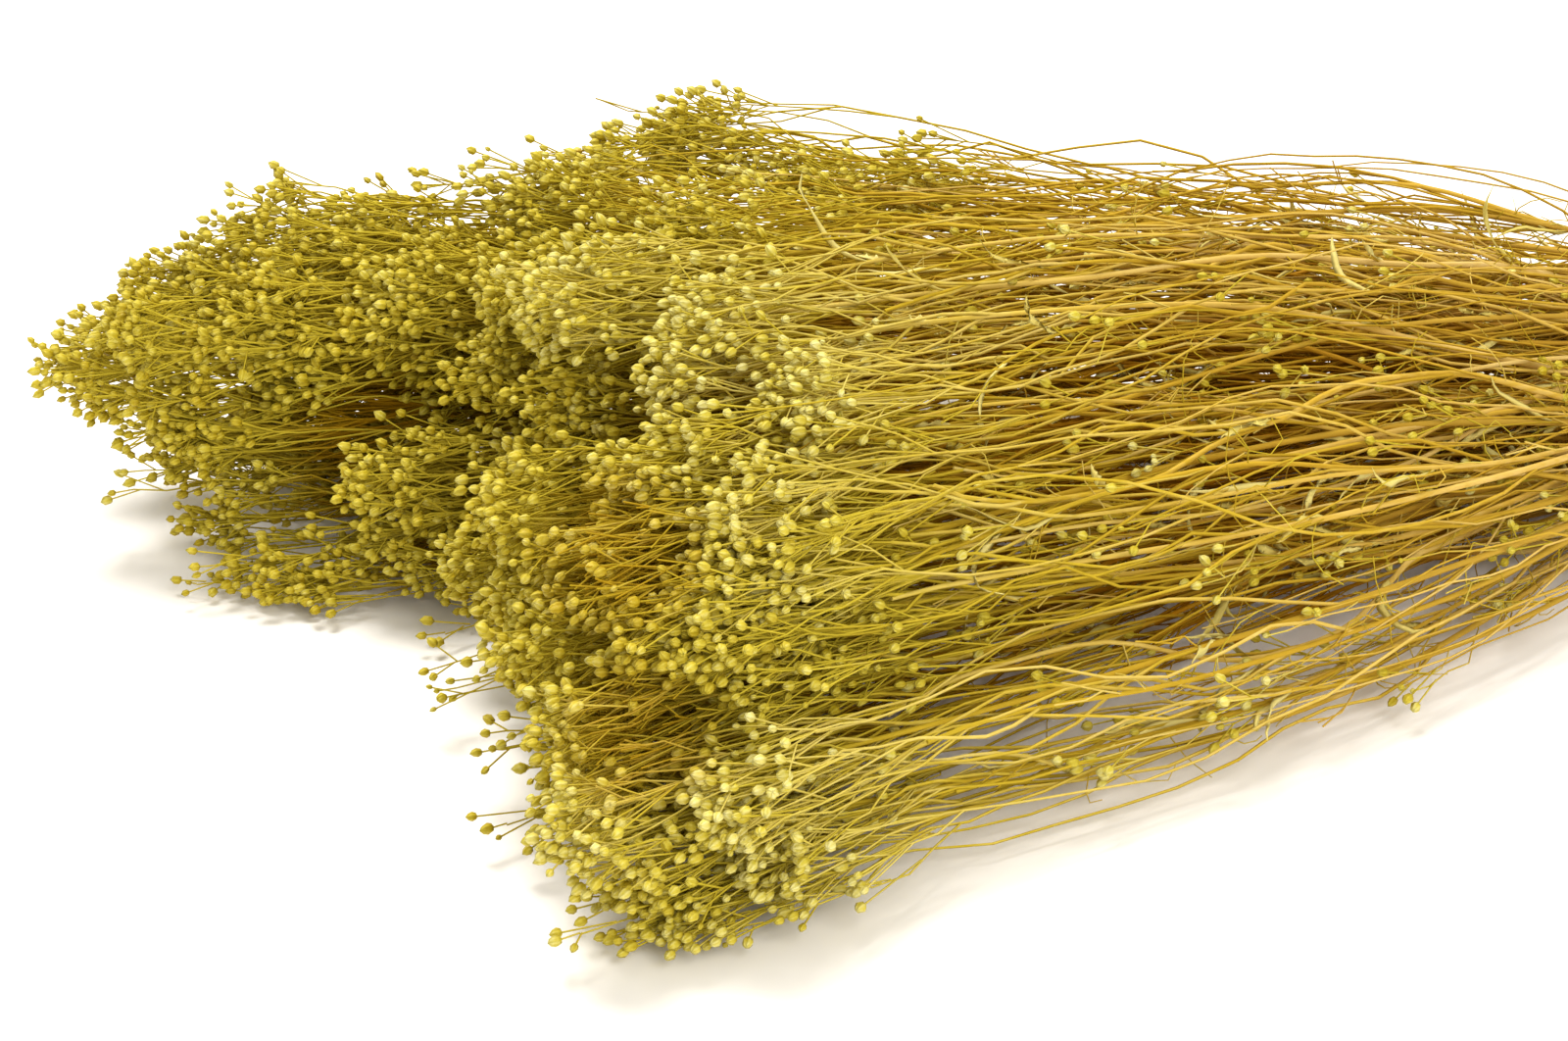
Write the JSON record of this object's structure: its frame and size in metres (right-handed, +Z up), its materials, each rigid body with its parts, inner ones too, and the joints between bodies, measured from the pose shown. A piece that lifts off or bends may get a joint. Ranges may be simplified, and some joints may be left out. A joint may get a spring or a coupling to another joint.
{
  "type": "bunch of dried broom bloom",
  "caption": "Tied bunch of dried broom bloom lying down, slender golden stalks that fan out into fine twigs with small round buds, held by a rubber band.",
  "frame": {"origin": "middle of the tie's flat underside, on the surface that the bunch lies on", "axes": "+Z up, X along the bunch with the heads towards -X and the cut ends towards +X, +Y towards the far side of the picture"},
  "size_m": [0.5886, 0.2444, 0.0884],
  "materials": {
    "dried_stem": "dry matt straw, gold stalks turning yellow-green at the buds",
    "rubber_band": "plain tan rubber, dull"
  },
  "bodies": {
    "root": {"spray_01": "dried_stem", "spray_02": "dried_stem", "spray_03": "dried_stem", "spray_04": "dried_stem", "spray_05": "dried_stem", "spray_06": "dried_stem", "spray_07": "dried_stem", "spray_08": "dried_stem", "spray_09": "dried_stem", "spray_10": "dried_stem", "spray_11": "dried_stem", "spray_12": "dried_stem", "spray_13": "dried_stem", "spray_14": "dried_stem", "spray_15": "dried_stem", "spray_16": "dried_stem", "spray_17": "dried_stem", "spray_18": "dried_stem", "spray_19": "dried_stem", "spray_20": "dried_stem", "spray_21": "dried_stem", "spray_22": "dried_stem", "spray_23": "dried_stem", "spray_24": "dried_stem", "spray_25": "dried_stem", "spray_26": "dried_stem", "spray_27": "dried_stem", "spray_28": "dried_stem", "spray_29": "dried_stem", "spray_30": "dried_stem", "spray_31": "dried_stem", "spray_32": "dried_stem", "spray_33": "dried_stem", "spray_34": "dried_stem", "spray_35": "dried_stem", "spray_36": "dried_stem", "spray_37": "dried_stem", "tie_band": "rubber_band"}
  },
  "joints": []
}
